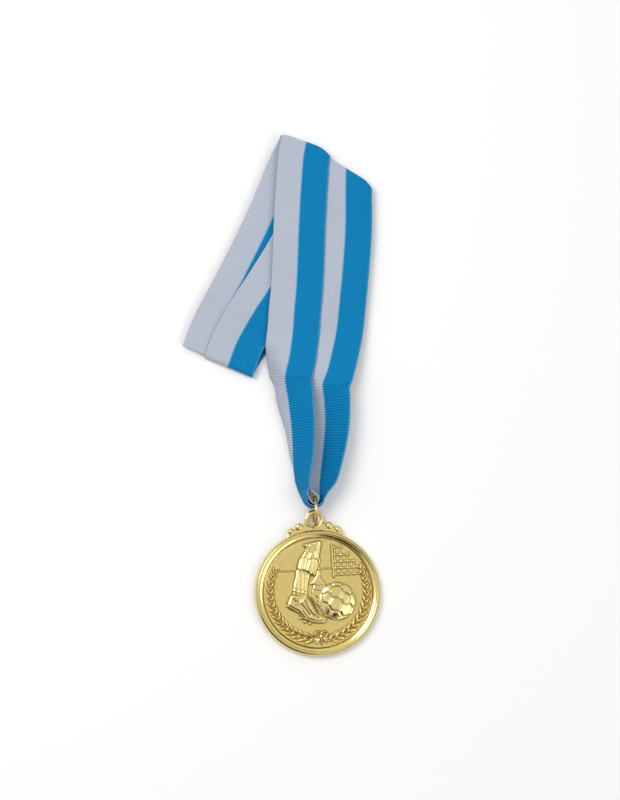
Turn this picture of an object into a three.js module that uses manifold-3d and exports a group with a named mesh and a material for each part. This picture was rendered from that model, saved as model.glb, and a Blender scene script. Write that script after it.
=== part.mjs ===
// Award medal lying on its back: a die-cast disc with an eyelet, a split jump ring
// that stands upright through the eyelet, and a two-colour neck ribbon that is
// threaded through the ring, folded in three and laid flat above the medal.
//
// Units are millimetres. The origin is the centre of the disc's flat back, +Z is
// up out of the disc's face and +Y runs from the disc's centre to its eyelet.

import * as THREE from 'three';
import { mergeVertices } from 'three/addons/utils/BufferGeometryUtils.js';
import Module from 'manifold-3d';

const wasm = await Module();
wasm.setup();

// ---------------------------------------------------------------- dimensions

const DISC_RADIUS = 30;
const DISC_THICKNESS = 4.2;
const FIELD_RADIUS = 26.4;
const FIELD_HEIGHT = 2.7;

const EYELET_Y = 34.8;
const EYELET_RADIUS = 4.5;
const EYELET_HOLE_RADIUS = 3.0;
const PLATE_BOTTOM = 1.9;
const PLATE_TOP = 3.7;

const BIG_BEAD = { x: 7.3, y: 31.5, radius: 1.85 };
const SMALL_BEAD = { x: 11.3, y: 29.6, radius: 1.55 };
const BEAD_HEIGHT = 2.8;

const RING_WIRE_RADIUS = 0.75;
const RING_MEAN_RADIUS = 6.75;
const RING_CENTRE = [0, 38.5, 7.5];
const RING_GAP_ANGLE = deg(4);
const RING_GAP_AT = deg(205);

const WHITE_WIDTH = 12;
const BLUE_WIDTH = 13;
const RIBBON_THICKNESS = 0.5;
const RIBBON_STEP = 3.2;
const CREASE_HALF_WIDTH = 1;

const THREAD_RADIUS = 0.15;
const LAP_LENGTH = 12;
const LAYER = { returnLow: 0.3, lap: 1.1, returnHigh: 2.2, low: 3.0, high: 3.8, right: 4.6, left: 5.4 };

// ---------------------------------------------------------------- materials

const gold = new THREE.MeshStandardMaterial({ color: 0xd9c27a, metalness: 1, roughness: 0.3 });
const roseGold = new THREE.MeshStandardMaterial({ color: 0xc9ab72, metalness: 1, roughness: 0.25 });
const satin = new THREE.MeshStandardMaterial({ color: 0x0c7ab4, metalness: 0, roughness: 0.6 });
const thread = new THREE.MeshStandardMaterial({ color: 0xe6e8ee, metalness: 0, roughness: 0.7 });

// ---------------------------------------------------------------- solids

function deg(angle) {
  return THREE.MathUtils.degToRad(angle);
}

function toSolid(geometry) {
  const bare = geometry.clone();
  bare.deleteAttribute('normal');
  bare.deleteAttribute('uv');
  const merged = mergeVertices(bare, 1e-4);
  const vertProperties = new Float32Array(merged.attributes.position.array);
  const triVerts = new Uint32Array(merged.index.array);
  return new wasm.Manifold(new wasm.Mesh({ numProp: 3, vertProperties, triVerts }));
}

function toGeometry(solid) {
  const mesh = solid.getMesh();
  const geometry = new THREE.BufferGeometry();
  geometry.setAttribute('position', new THREE.BufferAttribute(mesh.vertProperties, 3));
  geometry.setIndex(new THREE.BufferAttribute(mesh.triVerts, 1));
  geometry.computeVertexNormals();
  return geometry;
}

function joined(geometries) {
  return geometries.map(toSolid).reduce((whole, piece) => whole.add(piece));
}

function extruded(shape, bottom, height, bevel = 0, curveSegments = 10) {
  const geometry = new THREE.ExtrudeGeometry(shape, {
    depth: height - bevel,
    bevelEnabled: bevel > 0,
    bevelThickness: bevel,
    bevelSize: bevel,
    bevelOffset: -bevel,
    bevelSegments: 2,
    curveSegments,
  });
  return geometry.translate(0, 0, bottom);
}

// A closed loop of outline points through which a smooth curve is drawn.
function smoothShape(points, divisions) {
  const curve = new THREE.SplineCurve([...points, points[0]].map(([x, y]) => new THREE.Vector2(x, y)));
  const outline = curve.getSpacedPoints(divisions);
  outline.pop();
  return new THREE.Shape(outline);
}

// ---------------------------------------------------------------- casting

function discBody() {
  const profile = [
    [0, 0], [DISC_RADIUS - 0.8, 0], [DISC_RADIUS - 0.2, 0.4], [DISC_RADIUS, 1],
    [DISC_RADIUS, DISC_THICKNESS - 1.4], [DISC_RADIUS - 0.4, DISC_THICKNESS - 0.5],
    [DISC_RADIUS - 1.2, DISC_THICKNESS], [DISC_RADIUS - 2.6, DISC_THICKNESS],
    [FIELD_RADIUS + 0.4, DISC_THICKNESS - 0.6], [FIELD_RADIUS, FIELD_HEIGHT], [0, FIELD_HEIGHT],
  ];
  return turned(profile, 72);
}

function turned(profile, segments) {
  const points = profile.map(([r, z]) => new THREE.Vector2(r, z));
  return new THREE.LatheGeometry(points, segments).rotateX(Math.PI / 2);
}

function eyelet() {
  const plate = new THREE.Shape().absarc(0, 0, EYELET_RADIUS, 0, 2 * Math.PI);
  return extruded(plate, PLATE_BOTTOM, PLATE_TOP - PLATE_BOTTOM, 0.4, 24).translate(0, EYELET_Y, 0);
}

function eyeletHole() {
  const hole = new THREE.CylinderGeometry(EYELET_HOLE_RADIUS, EYELET_HOLE_RADIUS, 12, 40);
  return toSolid(hole.rotateX(Math.PI / 2).translate(0, EYELET_Y, 2));
}

function bead({ x, y, radius }) {
  return new THREE.SphereGeometry(radius, 20, 12).translate(x, y, BEAD_HEIGHT);
}

function shoulderBar() {
  const edge = [[13.6, 26.2], [13.2, 28.3], [11.8, 29.8], [9.4, 30.6], [7.6, 31.8], [5.2, 32.2], [3.5, 33.4]];
  const mirror = edge.map(([x, y]) => [-x, y]).reverse();
  const bar = new THREE.Shape([...edge, ...mirror].map(([x, y]) => new THREE.Vector2(x, y)));
  return extruded(bar, 1, PLATE_BOTTOM, 0.3);
}

// The laurel: leaves in pairs along two arcs that meet at the bottom bow.
function laurel() {
  const leaves = [];
  for (const side of [-1, 1]) {
    for (let i = 0; i < 7; i += 1) {
      const along = deg(-78 + 15 * i);
      for (const lean of [-1, 1]) {
        const radius = 22.6 + 1.6 * lean;
        const leaf = new THREE.Shape().absellipse(0, 0, 2.9 - 0.2 * i, 1.05, 0, 2 * Math.PI, false, 0);
        const solid = extruded(leaf, FIELD_HEIGHT - 0.4, 1.1, 0, 6);
        solid.rotateZ(along + Math.PI / 2 - lean * 0.35);
        solid.translate(radius * Math.cos(along), radius * Math.sin(along), 0);
        leaves.push(side < 0 ? mirrored(solid) : solid);
      }
    }
  }
  return leaves;
}

// The same solid on the other side of the disc, kept facing outwards.
function mirrored(geometry) {
  const flipped = geometry.clone().applyMatrix4(new THREE.Matrix4().makeScale(-1, 1, 1));
  const position = flipped.attributes.position;
  for (let i = 0; i < position.count; i += 3) {
    const x = position.getX(i);
    const y = position.getY(i);
    const z = position.getZ(i);
    position.setXYZ(i, position.getX(i + 1), position.getY(i + 1), position.getZ(i + 1));
    position.setXYZ(i + 1, x, y, z);
  }
  return flipped;
}

function ball() {
  const spread = 9.05;
  const rise = 1.5;
  const sphere = (spread * spread + rise * rise) / (2 * rise);
  const profile = [[0, FIELD_HEIGHT - 0.5], [spread, FIELD_HEIGHT - 0.5]];
  for (let i = 0; i <= 5; i += 1) {
    const r = spread * (1 - i / 5);
    profile.push([r, FIELD_HEIGHT - 0.1 + rise - sphere + Math.sqrt(sphere * sphere - r * r)]);
  }
  return turned(profile, 32).translate(8.95, -4.4, 0);
}

function relief() {
  const raised = (points, height) => extruded(smoothShape(points, 28), FIELD_HEIGHT - 0.4, height + 0.4);
  const shorts = raised([[-6, 23], [2.7, 24.7], [2, 18], [0.8, 12], [-1.2, 8], [-9.2, 11.4],
    [-8, 16.8]], 1.1);
  const sock = raised([[-9.2, 12], [-3.2, 9.2], [-4.6, 3], [-5, -2], [-12, -1], [-10.8, 7]], 0.8);
  const boot = raised([[-12.3, 0], [-4.9, -0.6], [-1.9, -7], [3.2, -11.8], [2.4, -14.3], [-6.8, -12.8],
    [-13, -8], [-15, -4.5]], 1.2);
  const rearLeg = raised([[-0.6, 14], [1.6, 13], [1.9, 8], [3.8, 3.6], [1.8, -8.6], [-2.2, -4],
    [-2.2, 5]], 0.6);
  const post = extruded(rectangle(7.2, 6.9, 8.5, 22.7), FIELD_HEIGHT - 0.4, 1.0);
  const crossbar = extruded(rectangle(8, 21.6, 14.2, 22.7), FIELD_HEIGHT - 0.4, 0.9);
  const knot = raised([[-3.6, -18.4], [0.4, -19.9], [4.2, -18.4], [1.9, -21.4], [4.4, -24], [0.4, -22.4],
    [-3.2, -23.8], [-1.2, -21.2]], 0.9);
  return [shorts, sock, boot, rearLeg, post, crossbar, knot, ball(), ...laurel()];
}

function rectangle(left, bottom, right, top) {
  return new THREE.Shape([
    new THREE.Vector2(left, bottom), new THREE.Vector2(right, bottom),
    new THREE.Vector2(right, top), new THREE.Vector2(left, top),
  ]);
}

function medalCasting() {
  const beads = [BIG_BEAD, SMALL_BEAD].flatMap((at) => [bead(at), bead({ ...at, x: -at.x })]);
  const whole = joined([discBody(), eyelet(), shoulderBar(), ...beads, ...relief()]);
  return toGeometry(whole.subtract(eyeletHole()));
}

// ---------------------------------------------------------------- jump ring

// An arc in the upright plane x = 0, open at one place where the wire's ends meet.
class RingArc extends THREE.Curve {
  getPoint(t) {
    const angle = RING_GAP_AT + RING_GAP_ANGLE / 2 + t * (2 * Math.PI - RING_GAP_ANGLE);
    const y = RING_CENTRE[1] + RING_MEAN_RADIUS * Math.cos(angle);
    const z = RING_CENTRE[2] + RING_MEAN_RADIUS * Math.sin(angle);
    return new THREE.Vector3(RING_CENTRE[0], y, z);
  }
}

function jumpRing() {
  const section = new THREE.Shape(new THREE.EllipseCurve(0, 0, RING_WIRE_RADIUS, RING_WIRE_RADIUS)
    .getPoints(12).slice(0, 12));
  return new THREE.ExtrudeGeometry(section, { steps: 60, extrudePath: new RingArc(), bevelEnabled: false });
}

// ---------------------------------------------------------------- ribbon

// Headings are measured clockwise from +Y, in degrees.
function heading(angle) {
  return new THREE.Vector3(Math.sin(deg(angle)), Math.cos(deg(angle)), 0);
}

function point(x, y, z) {
  return new THREE.Vector3(x, y, z);
}

// A smooth line through points with given directions at its two ends, and straight
// beyond them. Its knots are spaced by chord length, so its parameter is very nearly
// the distance along it.
class SmoothPath {
  constructor(points, startDirection, endDirection) {
    this.points = points;
    this.knots = [0];
    for (let i = 1; i < points.length; i += 1) {
      this.knots.push(this.knots[i - 1] + points[i].distanceTo(points[i - 1]));
    }
    this.length = this.knots[points.length - 1];
    this.slopes = points.map((p, i) => {
      if (i === 0) return startDirection;
      if (i === points.length - 1) return endDirection;
      const span = this.knots[i + 1] - this.knots[i - 1];
      return points[i + 1].clone().sub(points[i - 1]).divideScalar(span);
    });
  }

  at(distance) {
    const last = this.points.length - 1;
    if (distance <= 0) return this.beyond(0, distance);
    if (distance >= this.length) return this.beyond(last, distance - this.length);
    const i = this.knots.findIndex((knot) => knot > distance) - 1;
    const span = this.knots[i + 1] - this.knots[i];
    const t = (distance - this.knots[i]) / span;
    const blend = (a, b, c, d) => this.points[i].clone().multiplyScalar(a)
      .addScaledVector(this.slopes[i], b * span)
      .addScaledVector(this.points[i + 1], c)
      .addScaledVector(this.slopes[i + 1], d * span);
    return {
      place: blend(2 * t ** 3 - 3 * t ** 2 + 1, t ** 3 - 2 * t ** 2 + t, 3 * t ** 2 - 2 * t ** 3,
        t ** 3 - t ** 2),
      travel: blend(6 * t ** 2 - 6 * t, 3 * t ** 2 - 4 * t + 1, 6 * t - 6 * t ** 2, 3 * t ** 2 - 2 * t)
        .divideScalar(span),
      knot: i,
      part: t,
    };
  }

  beyond(i, distance) {
    const place = this.points[i].clone().addScaledVector(this.slopes[i], distance);
    const knot = Math.min(i, this.points.length - 2);
    return { place, travel: this.slopes[i], knot, part: i === 0 ? 0 : 1 };
  }
}

// Where the strip turns over: the middle of the visible crease, the crease's slope
// below horizontal to its right, the side it bulges to, and how far its corners fall
// back between two distances along it.
const OUTER_TURN = { at: point(-37.3, 109.4, 0), slope: 25.3, up: false };
const INNER_TURN = { at: point(-47.2, 115.3, 0), slope: 26.0, up: false };
const RIGHT_TOP = {
  at: point(24.4, 202, 0), slope: 34, up: true, droopWay: 4.7, droops: [[2.2, 9.5, 15]],
};
const LEFT_TOP = {
  at: point(5.8, 215.4, 0), slope: 21.5, up: true, droopWay: 14, droops: [[2.4, 5, 12.5], [1.2, -8, -12.5]],
};
const NECK_TURN = { at: point(21, 184.5, 0), slope: 40.5, up: true };

// The roll of the strip's cross-section: its slope in degrees at each of these
// distances from the colour boundary. A section may also be gathered narrower.
const SECTION = [-WHITE_WIDTH, -6, -CREASE_HALF_WIDTH, CREASE_HALF_WIDTH, 7, BLUE_WIDTH];
const FACE_UP = [0, 0, 0, 0, 0, 0];
const FACE_DOWN = [180, 180, 180, 180, 180, 180];

// The two legs, from the right one down through the ring and up the left one.
const LEG = [
  { at: [15.4, 124.3, 5.3], roll: FACE_DOWN },
  { at: [12.6, 114.4, 7.2], roll: [173, 175, 179, 180, 180, 180] },
  { at: [9.3, 104.6, 9.3], roll: [165, 168, 176, 180, 180, 180] },
  { at: [6.9, 99.3, 10.1], roll: [165, 168, 175, 178, 178, 178] },
  { at: [7.4, 91, 7.2], roll: [172, 174, 176, 160, 158, 158] },
  { at: [7.7, 81.4, 4.8], roll: [185, 183, 176, 150, 147, 146] },
  { at: [6.8, 72, 3.6], roll: [190, 186, 176, 142, 139, 139] },
  { at: [5.4, 62.6, 2.9], roll: [205, 192, 178, 135, 132, 132], gather: 0.97 },
  { at: [3.9, 53.6, 2.6], roll: [230, 212, 194, 130, 124, 124], gather: 0.9 },
  { at: [3.3, 48.8, 2.7], roll: [260, 237, 213, 125, 106, 112], gather: 0.82 },
  { at: [3.2, 45.6, 2.8], roll: [290, 262, 235, 120, 92, 90], gather: 0.76 },
  { at: [2.5, 43, 2.9], roll: [292, 266, 240, 120, 88, 72], gather: 0.74 },
  { at: [0, 41.5, 2.9], roll: [295, 270, 245, 115, 90, 65], gather: 0.72 },
  { at: [-3, 42.6, 2.7], roll: [298, 264, 232, 112, 88, 68], gather: 0.74 },
  { at: [-4.7, 45.2, 2.5], roll: [300, 260, 225, 100, 78, 68], gather: 0.77 },
  { at: [-6.3, 48.4, 2.3], roll: [310, 240, 180, 70, 65, 64], gather: 0.85 },
  { at: [-7.8, 54, 2.5], roll: [280, 215, 170, 58, 57, 57], gather: 0.9 },
  { at: [-8.4, 64, 3.7], roll: [215, 200, 60, 46, 48, 48], gather: 0.97 },
  { at: [-8.6, 77, 5.7], roll: [238, 120, 30, 38, 40, 40] },
  { at: [-9.8, 91.5, 7.8], roll: [190, 66, 24, 25, 27, 27] },
  { at: [-10.9, 99, 10], roll: [120, 66, 45, 10, 11, 11] },
  { at: [-11.1, 103.2, 11.3], roll: [68, 64, 50, 2, 2, 2] },
  { at: [-8.4, 112, 9], roll: [36, 34, 18, 0, 0, 0] },
  { at: [-7, 118.2, 7.7], roll: [13, 12, 6, 0, 0, 0] },
  { at: [-5.7, 124.6, 6.5], roll: [6, 5, 2, 0, 0, 0] },
];

function outward(turn) {
  const normal = heading(turn.slope);
  return turn.up ? normal : normal.negate();
}

function reflected(direction, normal) {
  return direction.clone().addScaledVector(normal, -2 * direction.dot(normal));
}

// One stretch of strip between two creases. It runs straight for a short way at
// both ends, so that each crease lies in a straight part.
function stretch({ from, start, points, to, end, run, rolls, side, startLevel }) {
  const level = (place, z) => place.clone().setZ(z);
  const inner = [
    level(from, startLevel ?? points[0].z).addScaledVector(start, run[0]),
    ...points,
    level(to, points[points.length - 1].z).addScaledVector(end, -run[1]),
  ];
  const path = new SmoothPath(inner, start, end);
  const flat = side > 0 ? FACE_UP : FACE_DOWN;
  return {
    path,
    run,
    rolls: rolls ?? inner.map(() => ({ roll: flat })),
    leavingSide: rolls ? -side : side,
    isLeg: Boolean(rolls),
    length: path.length + run[0] + run[1],
  };
}

function rollAt(rolls, across) {
  let i = 0;
  while (i < SECTION.length - 2 && across > SECTION[i + 1]) i += 1;
  const t = (across - SECTION[i]) / (SECTION[i + 1] - SECTION[i]);
  return deg(rolls[i] + t * (rolls[i + 1] - rolls[i]));
}

// The middle surface of one stretch, at a distance along it and across it.
function placed(layer, along, across) {
  const { place, travel, knot, part } = layer.path.at(along - layer.run[0]);
  const right = new THREE.Vector3(travel.y, -travel.x, 0).normalize();
  const eased = part * part * (3 - 2 * part);
  const mix = (a, b) => a + eased * (b - a);
  const [near, far] = [layer.rolls[knot], layer.rolls[knot + 1]];
  const rolls = near.roll.map((angle, i) => mix(angle, far.roll[i]));
  const gather = mix(near.gather ?? 1, far.gather ?? 1);
  const steps = 24;
  let level = 0;
  let rise = 0;
  for (let i = 0; i < steps; i += 1) {
    const angle = rollAt(rolls, (across * (i + 0.5)) / steps);
    level += (Math.cos(angle) * across) / steps;
    rise += (Math.sin(angle) * across) / steps;
  }
  const spot = place.clone().addScaledVector(right, level * gather).add(point(0, 0, rise * gather));
  if (layer.isLeg) spot.z = keptOffTable(spot.z);
  return spot;
}

// A gathered edge that would reach below the table lies on it instead.
function keptOffTable(z) {
  const lowest = LAYER.returnLow + 0.1;
  return (z + lowest + Math.hypot(z - lowest, 0.4)) / 2;
}

// The turns in the order the strip meets them, with the levels before and after each.
const TURNS = [
  { ...OUTER_TURN, before: LAYER.returnLow, after: LAYER.high },
  { ...RIGHT_TOP, before: LAYER.high, after: LAYER.right },
  { ...LEFT_TOP, before: LAYER.left, after: LAYER.low },
  { ...INNER_TURN, before: LAYER.low, after: LAYER.returnHigh },
  { ...NECK_TURN, before: LAYER.returnHigh, after: LAYER.returnLow },
].map((turn) => {
  const normal = outward(turn);
  const radius = Math.abs(turn.before - turn.after) / 2;
  const line = turn.at.clone().addScaledVector(normal, radius * (Math.PI / 2 - 1));
  return { ...turn, normal, radius, line };
});

// Corners of a soft fold fall back from its straight crease.
function drooped(place, turn) {
  if (!turn.droops) return place;
  const away = place.clone().sub(turn.line).setZ(0);
  const beside = away.dot(point(turn.normal.y, -turn.normal.x, 0));
  const near = Math.exp(-((away.dot(turn.normal) / 8) ** 2));
  const back = heading(turn.droopWay).negate();
  for (const [amount, start, end] of turn.droops) {
    const part = THREE.MathUtils.clamp((beside - start) / (end - start), 0, 1.5);
    place.addScaledVector(back, amount * part ** 2 * near);
  }
  return place;
}

function foldedStrip() {
  const [outer, rightTop, leftTop, inner, neck] = TURNS;
  const down = (angle) => heading(angle).negate();

  const intoRight = down(4.7);
  const outOfHigh = reflected(intoRight.clone().negate(), rightTop.normal).negate();
  const intoHigh = heading(22);
  const intoOuter = reflected(intoHigh.clone().negate(), outer.normal).negate();
  const intoLeftTop = heading(14);
  const outOfLeftTop = reflected(intoLeftTop, leftTop.normal);
  const intoInner = down(23);
  const outOfInner = reflected(intoInner, inner.normal);
  const intoNeck = heading(42);
  const outOfNeck = reflected(intoNeck, neck.normal);

  const z = LAYER;
  const lapEnd = point(-1, 157.5, z.lap);
  const lapStart = lapEnd.clone().addScaledVector(down(39), LAP_LENGTH);
  const offLap = lapStart.clone().addScaledVector(down(39), 6).setZ(z.returnLow);
  const lowerReturn = [point(-20, 134.4, z.returnLow), point(-29.6, 121.6, z.returnLow)];
  const legPoints = LEG.map(({ at }) => point(...at));
  const legStart = [point(23.4, 185.9, z.right), point(22.4, 171.6, z.right), point(20, 152.7, z.right),
    point(17.8, 138.5, z.right)];
  const legEnd = [point(-4.1, 135, z.left), point(-2.9, 144.4, z.left), point(-1.4, 158.7, z.left),
    point(-0.1, 172.9, z.left), point(1.4, 187.1, z.left), point(3, 200, z.left)];
  const legRolls = [
    ...[rightTop, ...legStart].map(() => ({ roll: FACE_DOWN })),
    ...LEG,
    ...[...legEnd, leftTop].map(() => ({ roll: FACE_UP })),
  ];
  return [
    stretch({
      from: lapEnd, start: down(39), to: outer.line, end: intoOuter, run: [0, 4], side: -1,
      points: [lapStart, offLap, ...lowerReturn], startLevel: z.lap,
    }),
    stretch({
      from: outer.line, start: intoHigh, to: rightTop.line, end: outOfHigh, run: [4, 10], side: 1,
      points: [point(-32, 121.6, z.high), point(-22.8, 135.9, z.high), point(-15.9, 145.2, z.high),
        point(-2, 165.5, z.high), point(5, 179.5, z.high)],
    }),
    stretch({
      from: rightTop.line, start: intoRight, to: leftTop.line, end: intoLeftTop, run: [10, 6], side: -1,
      points: [...legStart, ...legPoints, ...legEnd], rolls: legRolls,
    }),
    stretch({
      from: leftTop.line, start: outOfLeftTop, to: inner.line, end: intoInner, run: [6, 4], side: -1,
      points: [point(-12.7, 178.2, z.low), point(-26.9, 152.6, z.low), point(-34, 140.7, z.low),
        point(-42, 127, z.low)],
    }),
    stretch({
      from: inner.line, start: outOfInner, to: neck.line, end: intoNeck, run: [4, 4], side: 1,
      points: [point(-30, 138, z.returnHigh), point(-6, 158, z.returnHigh)],
    }),
    stretch({
      from: neck.line, start: outOfNeck, to: lapStart, end: down(39), run: [4, 0], side: -1,
      points: [point(8, 168.6, z.returnLow)],
    }),
  ];
}

// The strip with its creases: a map from distance along it and across it to space.
class Strip {
  constructor() {
    this.stretches = foldedStrip();
    this.starts = [0];
    for (const { length } of this.stretches) this.starts.push(this.starts[this.starts.length - 1] + length);
    this.length = this.starts[this.stretches.length];
  }

  at(along, across) {
    let k = 1;
    for (let j = 2; j <= TURNS.length; j += 1) {
      if (Math.abs(this.starts[j] - along) < Math.abs(this.starts[k] - along)) k = j;
    }
    const turn = TURNS[k - 1];
    const beyond = (place) => place.clone().sub(turn.line).setZ(0).dot(turn.normal);
    let place = placed(this.stretches[k - 1], along - this.starts[k - 1], across);
    let distance = beyond(place);
    const quarter = (turn.radius * Math.PI) / 2;
    let angle = (distance + quarter) / turn.radius;
    if (distance > 0) {
      place = placed(this.stretches[k], along - this.starts[k], across);
      distance = beyond(place);
      angle = Math.PI - (distance + quarter) / turn.radius;
    }
    if (distance <= -quarter || Math.abs(along - this.starts[k]) > 25) return drooped(place, turn);
    const bulge = -quarter + turn.radius * Math.sin(angle) - distance;
    place.addScaledVector(turn.normal, bulge);
    place.z = (turn.before + turn.after) / 2 + ((turn.before - turn.after) / 2) * Math.cos(angle);
    return drooped(place, turn);
  }
}

const COLUMNS = [-12, -10, -8, -6, -3.5, -1, -0.33, 0.33, 1, 4, 7, 10, 13];

// Rows of the strip's mesh: even steps, closer together at the ring, and rows laid
// along each crease where it turns over.
function meshRows(strip) {
  const creases = TURNS.map((turn, i) => {
    const before = strip.stretches[i];
    const travel = before.path.slopes[before.path.slopes.length - 1];
    const right = point(travel.y, -travel.x, 0);
    const advance = travel.dot(turn.normal);
    const skew = (-before.leavingSide * right.dot(turn.normal)) / advance;
    return { at: strip.starts[i + 1], advance, skew, turn };
  });
  const rows = [];
  for (const { at, advance, turn } of creases) {
    const reach = (turn.radius * Math.PI) / 2;
    const count = 7;
    for (let j = 0; j <= count; j += 1) {
      rows.push(at + ((2 * j) / count - 1) * (reach / advance));
    }
    rows.push(at - (reach + 0.8) / advance, at + (reach + 0.8) / advance);
  }
  const clear = (s) => creases.every(({ at, turn }) => Math.abs(s - at) > turn.radius * 1.6 + 1.6);
  const ringAt = strip.starts[2] + strip.stretches[2].length / 2;
  let s = 0;
  while (s < strip.length) {
    if (clear(s)) rows.push(s);
    s += Math.abs(s - ringAt) < 30 ? 1.1 : RIBBON_STEP * 2;
  }
  rows.push(strip.length);
  rows.sort((a, b) => a - b);
  const skewAt = (at) => creases.reduce((sum, crease) => {
    const near = Math.max(0, 1 - Math.max(0, Math.abs(at - crease.at) - 4) / 40);
    return sum + crease.skew * near * near * (3 - 2 * near);
  }, 0);
  return rows.map((at) => ({ at, skew: at === 0 || at === strip.length ? 0 : skewAt(at) }));
}

// A closed sheet of even thickness around a grid of points.
function thickened(grid, thickness) {
  const rows = grid.length;
  const columns = grid[0].length;
  const normalAt = (i, j) => {
    const along = grid[Math.min(i + 1, rows - 1)][j].clone().sub(grid[Math.max(i - 1, 0)][j]);
    const across = grid[i][Math.min(j + 1, columns - 1)].clone().sub(grid[i][Math.max(j - 1, 0)]);
    return across.cross(along).normalize();
  };
  const positions = [];
  for (const side of [0.5, -0.5]) {
    for (let i = 0; i < rows; i += 1) {
      for (let j = 0; j < columns; j += 1) {
        const p = grid[i][j].clone().addScaledVector(normalAt(i, j), side * thickness);
        positions.push(p.x, p.y, p.z);
      }
    }
  }
  const index = [];
  const top = (i, j) => i * columns + j;
  const bottom = (i, j) => rows * columns + i * columns + j;
  const quad = (a, b, c, d) => index.push(a, b, c, a, c, d);
  for (let i = 0; i + 1 < rows; i += 1) {
    for (let j = 0; j + 1 < columns; j += 1) {
      quad(top(i, j), top(i, j + 1), top(i + 1, j + 1), top(i + 1, j));
      quad(bottom(i, j), bottom(i + 1, j), bottom(i + 1, j + 1), bottom(i, j + 1));
    }
    quad(top(i, 0), top(i + 1, 0), bottom(i + 1, 0), bottom(i, 0));
    const j = columns - 1;
    quad(top(i, j), bottom(i, j), bottom(i + 1, j), top(i + 1, j));
  }
  for (let j = 0; j + 1 < columns; j += 1) {
    const i = rows - 1;
    quad(top(0, j), bottom(0, j), bottom(0, j + 1), top(0, j + 1));
    quad(top(i, j), top(i, j + 1), bottom(i, j + 1), bottom(i, j));
  }
  const geometry = new THREE.BufferGeometry();
  geometry.setAttribute('position', new THREE.Float32BufferAttribute(positions, 3));
  geometry.setIndex(index);
  geometry.computeVertexNormals();
  return geometry;
}

function ribbon() {
  const strip = new Strip();
  const row = ({ at, skew }) => COLUMNS.map((across) => strip.at(at + skew * across, across));
  const grid = meshRows(strip).map(row);
  return thickened(grid, RIBBON_THICKNESS);
}

// ---------------------------------------------------------------- stitching

// One thread, sewn back and forth across the lap that joins the ribbon's ends.
function seamStitching() {
  const strip = new Strip();
  const points = [];
  const count = 14;
  for (let i = 0; i <= count; i += 1) {
    const across = -9.5 + (20 * i) / count;
    const along = 2.5 + (i % 2) * (LAP_LENGTH - 5);
    points.push(strip.at(along, across).setZ(LAYER.lap + RIBBON_THICKNESS / 2 + 0.3 + THREAD_RADIUS));
  }
  const path = new THREE.CatmullRomCurve3(points, false, 'catmullrom', 0.15);
  const section = new THREE.Shape(new THREE.EllipseCurve(0, 0, THREAD_RADIUS, THREAD_RADIUS)
    .getPoints(6).slice(0, 6));
  return new THREE.ExtrudeGeometry(section, { steps: count * 8, extrudePath: path, bevelEnabled: false });
}

// ---------------------------------------------------------------- assembly

function named(name, geometry, material) {
  const mesh = new THREE.Mesh(geometry, material);
  mesh.name = name;
  return mesh;
}

const medal = new THREE.Group();
medal.name = 'award_medal';
medal.add(named('medal_casting', medalCasting(), gold));
medal.add(named('jump_ring', jumpRing(), roseGold));
medal.add(named('ribbon', ribbon(), satin));
medal.add(named('seam_stitching', seamStitching(), thread));

export default medal;
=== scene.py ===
"""An award medal lying on its back, with its neck ribbon folded above it."""
import math

import bmesh
import bpy
import numpy as np
from mathutils import Matrix, Vector


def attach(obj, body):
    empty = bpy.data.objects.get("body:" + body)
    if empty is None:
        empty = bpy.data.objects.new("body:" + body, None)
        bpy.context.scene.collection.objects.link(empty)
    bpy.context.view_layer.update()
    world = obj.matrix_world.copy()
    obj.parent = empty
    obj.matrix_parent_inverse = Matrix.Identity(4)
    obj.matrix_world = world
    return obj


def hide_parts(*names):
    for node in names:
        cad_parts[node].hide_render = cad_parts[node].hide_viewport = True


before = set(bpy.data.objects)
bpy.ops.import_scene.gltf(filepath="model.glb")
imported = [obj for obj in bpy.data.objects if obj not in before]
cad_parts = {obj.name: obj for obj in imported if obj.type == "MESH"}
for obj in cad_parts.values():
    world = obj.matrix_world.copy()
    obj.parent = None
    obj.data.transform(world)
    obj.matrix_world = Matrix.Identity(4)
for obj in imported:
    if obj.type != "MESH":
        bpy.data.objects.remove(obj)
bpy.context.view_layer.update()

MM = 0.001


# ------------------------------------------------------------------ meshes

def new_mesh(name, points, faces, material, smooth=True, attributes=None):
    """A mesh object from points in millimetres."""
    mesh = bpy.data.meshes.new(name)
    mesh.from_pydata((np.asarray(points, float) * MM).tolist(), [], np.asarray(faces).tolist()
                     if isinstance(faces, np.ndarray) else faces)
    for key, values in (attributes or {}).items():
        layer = mesh.attributes.new(key, "FLOAT", "POINT")
        layer.data.foreach_set("value", np.asarray(values, np.float32).ravel())
    mesh.polygons.foreach_set("use_smooth", [smooth] * len(mesh.polygons))
    mesh.materials.append(material)
    mesh.update()
    obj = bpy.data.objects.new(name, mesh)
    bpy.context.scene.collection.objects.link(obj)
    return obj


def heading(angle):
    """A level direction, counted clockwise from +Y."""
    a = math.radians(angle)
    return np.array([math.sin(a), math.cos(a), 0.0])


def smoothstep(x, low, high):
    t = np.clip((x - low) / (high - low), 0, 1)
    return t * t * (3 - 2 * t)


# ------------------------------------------------------------------ ribbon: where it lies

WHITE, BLUE = 12.0, 13.0
THICK = 0.45
LAP = 12.0
Z_RETURN, Z_LAP, Z_RETURN_UP, Z_LOW, Z_HIGH, Z_RIGHT, Z_LEFT = 0.3, 1.1, 2.5, 3.3, 4.1, 4.9, 5.7

# The roll of the cross-section: its slope in degrees at each of these distances from
# the colour boundary, and last how far it is gathered.
SECTION = np.array([-WHITE, -6.0, -1.0, 1.0, 7.0, BLUE])
UP = (0, 0, 0, 0, 0, 0, 1)
DOWN = (180, 180, 180, 180, 180, 180, 1)


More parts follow.
